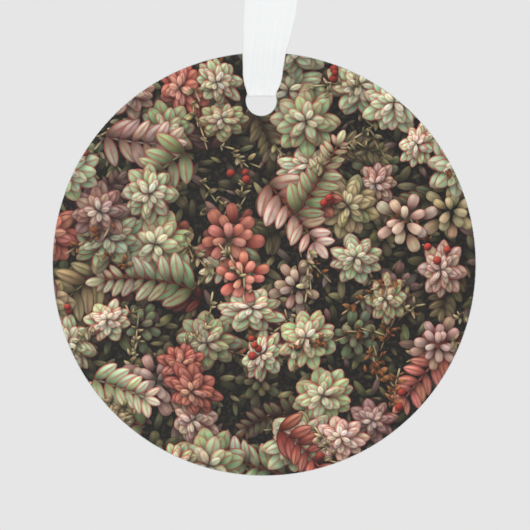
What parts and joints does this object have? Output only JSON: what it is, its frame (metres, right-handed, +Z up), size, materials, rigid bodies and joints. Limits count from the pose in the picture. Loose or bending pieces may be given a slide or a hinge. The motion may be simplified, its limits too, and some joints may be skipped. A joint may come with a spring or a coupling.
{
  "type": "round hanging ornament",
  "caption": "Flat round clear acrylic ornament, printed right across both faces, hung by a knotted loop of white satin ribbon through a hole near its top.",
  "frame": {"origin": "top of the inside of the ribbon's loop, where a hook or a twig carries the ornament", "axes": "+Z up along the hanging ribbon, -Y the disc's front face, +X to the viewer's right"},
  "size_m": [0.076, 0.0217, 0.1831],
  "materials": {
    "clear_acrylic": "clear cast sheet, laser-cut edge polished to a gloss",
    "front_ink": "opaque cured ink film in sage, coral, straw and charcoal, satin",
    "back_ink": "opaque cured ink film in sage, coral, straw and charcoal, satin",
    "white_satin": "woven satin ribbon with firm edges, soft sheen"
  },
  "bodies": {
    "root": {"acrylic_disc": "clear_acrylic", "front_print": "front_ink", "back_print": "back_ink", "ribbon": "white_satin"}
  },
  "joints": []
}
